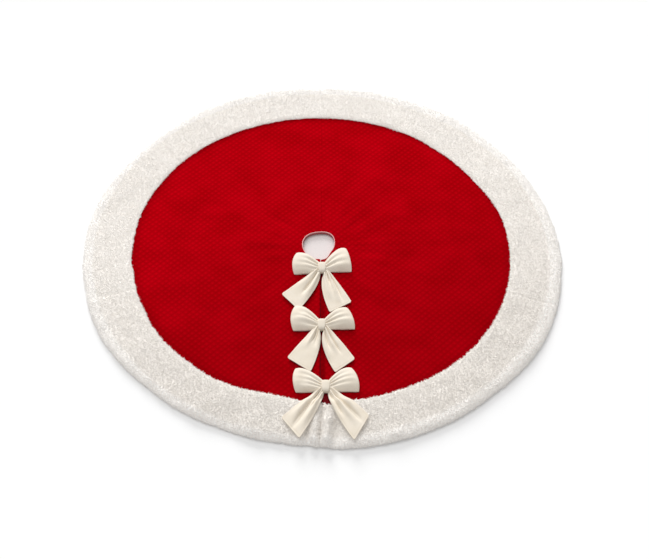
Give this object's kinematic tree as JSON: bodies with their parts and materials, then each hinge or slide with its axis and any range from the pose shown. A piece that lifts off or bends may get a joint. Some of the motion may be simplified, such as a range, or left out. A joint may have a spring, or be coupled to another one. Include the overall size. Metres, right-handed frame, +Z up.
{
  "type": "tree skirt",
  "caption": "Round quilted red tree skirt with a wide white faux fur border, a trunk hole, a slit from hole to rim and cream bows along the slit.",
  "frame": {"origin": "middle of the round skirt, on the floor it lies on", "axes": "+Z up from the floor; the slit runs from the trunk hole to the rim along -Y; +X to the right as seen from the slit"},
  "size_m": [1.22, 1.22, 0.0309],
  "materials": {
    "quilt": "soft knitted velour quilted in small diamonds, matt with a slight sheen",
    "faux_fur": "short dense plush pile, warm white, matt",
    "bow_cloth": "cream velvet ribbon cloth, matt with soft sheen",
    "wadding": "soft polyester wadding",
    "lining": "plain woven lining, matt",
    "binding": "narrow turned binding, pale rose",
    "facing": "plain woven facing, dark red",
    "placket": "plain woven strip, dark red",
    "hook_and_loop": "hook and loop tape, dark red"
  },
  "bodies": {
    "skirt_back": {"red_top_back": "quilt", "wadding_back": "wadding", "lining_back": "lining", "hole_binding_back": "binding", "fur_back_right": "faux_fur", "fur_back": "faux_fur", "fur_back_left": "faux_fur"},
    "left_flap": {"red_top_left": "quilt", "wadding_left": "wadding", "lining_left": "lining", "hole_binding_left": "binding", "fur_front_left": "faux_fur", "slit_facing_left": "facing", "hook_tab_1": "hook_and_loop", "hook_tab_2": "hook_and_loop", "hook_tab_3": "hook_and_loop", "bow_1_loops": "bow_cloth", "bow_1_knot": "bow_cloth", "bow_2_loops": "bow_cloth", "bow_2_knot": "bow_cloth", "bow_3_loops": "bow_cloth", "bow_3_knot": "bow_cloth"},
    "right_flap": {"red_top_right": "quilt", "wadding_right": "wadding", "lining_right": "lining", "hole_binding_right": "binding", "fur_front_right": "faux_fur", "slit_facing_right": "facing", "underlap_placket": "placket", "loop_patch_1": "hook_and_loop", "loop_patch_2": "hook_and_loop", "loop_patch_3": "hook_and_loop"},
    "bow_1_tail_body_left": {"bow_1_tail_left": "bow_cloth"},
    "bow_1_tail_body_right": {"bow_1_tail_right": "bow_cloth"},
    "bow_2_tail_body_left": {"bow_2_tail_left": "bow_cloth"},
    "bow_2_tail_body_right": {"bow_2_tail_right": "bow_cloth"},
    "bow_3_tail_body_left": {"bow_3_tail_left": "bow_cloth"},
    "bow_3_tail_body_right": {"bow_3_tail_right": "bow_cloth"}
  },
  "joints": [
    {"name": "left_flap_lift", "type": "hinge", "parent": "skirt_back", "child": "left_flap", "pos_m": [0, 0, 0.017], "axis": [-0.9511, -0.309, 0], "range_deg": [0, 120]},
    {"name": "right_flap_lift", "type": "hinge", "parent": "skirt_back", "child": "right_flap", "pos_m": [0, 0, 0.017], "axis": [-0.9511, 0.309, 0], "range_deg": [0, 72]},
    {"name": "bow_1_tail_left_lift", "type": "hinge", "parent": "left_flap", "child": "bow_1_tail_body_left", "pos_m": [-0.00263, -0.0978, 0.018], "axis": [-0.866, 0.5, 0], "range_deg": [0, 60]},
    {"name": "bow_1_tail_right_lift", "type": "hinge", "parent": "left_flap", "child": "bow_1_tail_body_right", "pos_m": [0.00663, -0.0978, 0.018], "axis": [-0.866, -0.5, 0], "range_deg": [0, 60]},
    {"name": "bow_2_tail_left_lift", "type": "hinge", "parent": "left_flap", "child": "bow_2_tail_body_left", "pos_m": [-0.00363, -0.2808, 0.018], "axis": [-0.866, 0.5, 0], "range_deg": [0, 60]},
    {"name": "bow_2_tail_right_lift", "type": "hinge", "parent": "left_flap", "child": "bow_2_tail_body_right", "pos_m": [0.00563, -0.2808, 0.018], "axis": [-0.866, -0.5, 0], "range_deg": [0, 60]},
    {"name": "bow_3_tail_left_lift", "type": "hinge", "parent": "left_flap", "child": "bow_3_tail_body_left", "pos_m": [0.00637, -0.4638, 0.018], "axis": [-0.866, 0.5, 0], "range_deg": [0, 60]},
    {"name": "bow_3_tail_right_lift", "type": "hinge", "parent": "left_flap", "child": "bow_3_tail_body_right", "pos_m": [0.01563, -0.4638, 0.018], "axis": [-0.866, -0.5, 0], "range_deg": [0, 60]}
  ],
  "couplings": [
    {"joint": "right_flap_lift", "follows": "left_flap_lift", "ratio": 0.6}
  ]
}
